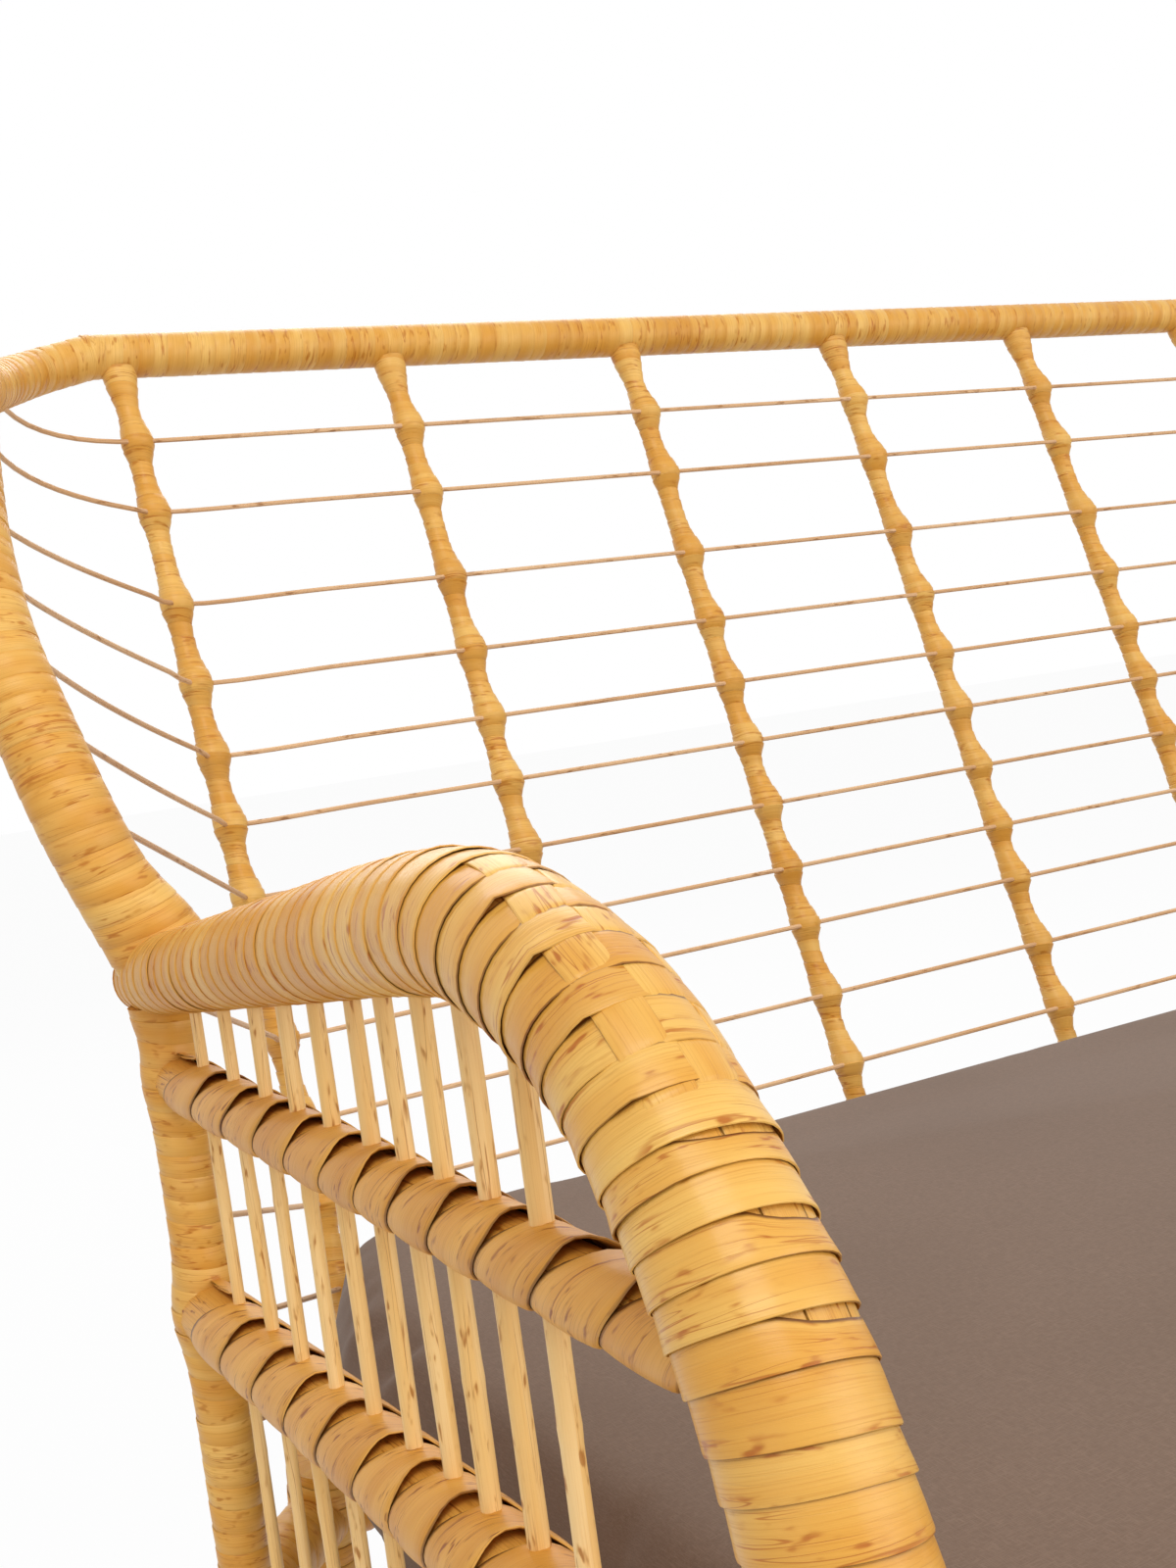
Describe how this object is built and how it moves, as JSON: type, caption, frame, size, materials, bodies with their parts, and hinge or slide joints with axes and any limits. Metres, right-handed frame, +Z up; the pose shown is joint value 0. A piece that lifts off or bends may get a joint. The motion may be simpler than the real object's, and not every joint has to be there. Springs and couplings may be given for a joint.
{
  "type": "rattan garden sofa",
  "caption": "Garden sofa of wrapped rattan canes with a leaning rod-and-spoke back, winged corners, bent arms that run down as front legs, and one loose seat cushion.",
  "frame": {"origin": "on the floor, under the middle of the sofa's bounding box", "axes": "+X to the right of someone who faces the front of the sofa, +Y towards its back, +Z up"},
  "size_m": [1.5128, 0.83, 0.9167],
  "materials": {
    "wrapped_cane": "satin",
    "peeled_cane": "satin",
    "thin_rod": "satin",
    "slat_wood": "matte",
    "cushion_cloth": "matte",
    "glide_plastic": "matte"
  },
  "bodies": {
    "root": {"top_rail": "wrapped_cane", "front_seat_rail": "wrapped_cane", "rear_seat_rail": "wrapped_cane", "spoke_1": "wrapped_cane", "spoke_2": "wrapped_cane", "spoke_3": "wrapped_cane", "spoke_4": "wrapped_cane", "spoke_5": "wrapped_cane", "spoke_6": "wrapped_cane", "spoke_7": "wrapped_cane", "spoke_8": "wrapped_cane", "left_arm": "wrapped_cane", "left_wing_rail": "wrapped_cane", "left_side_post": "wrapped_cane", "left_mid_rail": "wrapped_cane", "left_lower_rail": "wrapped_cane", "left_seat_rail": "wrapped_cane", "left_rear_leg": "wrapped_cane", "right_arm": "wrapped_cane", "right_wing_rail": "wrapped_cane", "right_side_post": "wrapped_cane", "right_mid_rail": "wrapped_cane", "right_lower_rail": "wrapped_cane", "right_seat_rail": "wrapped_cane", "right_rear_leg": "wrapped_cane", "left_stick_1": "peeled_cane", "left_stick_2": "peeled_cane", "left_stick_3": "peeled_cane", "left_stick_4": "peeled_cane", "left_stick_5": "peeled_cane", "left_stick_6": "peeled_cane", "left_stick_7": "peeled_cane", "left_stick_8": "peeled_cane", "left_stick_9": "peeled_cane", "left_stick_10": "peeled_cane", "right_stick_1": "peeled_cane", "right_stick_2": "peeled_cane", "right_stick_3": "peeled_cane", "right_stick_4": "peeled_cane", "right_stick_5": "peeled_cane", "right_stick_6": "peeled_cane", "right_stick_7": "peeled_cane", "right_stick_8": "peeled_cane", "right_stick_9": "peeled_cane", "right_stick_10": "peeled_cane", "back_rod_net": "thin_rod", "left_rod_net": "thin_rod", "right_rod_net": "thin_rod", "seat_slat_1": "slat_wood", "seat_slat_2": "slat_wood", "seat_slat_3": "slat_wood", "seat_slat_4": "slat_wood", "seat_slat_5": "slat_wood", "seat_slat_6": "slat_wood", "seat_slat_7": "slat_wood", "seat_cushion": "cushion_cloth", "left_front_glide": "glide_plastic", "left_rear_glide": "glide_plastic", "right_front_glide": "glide_plastic", "right_rear_glide": "glide_plastic"}
  },
  "joints": []
}
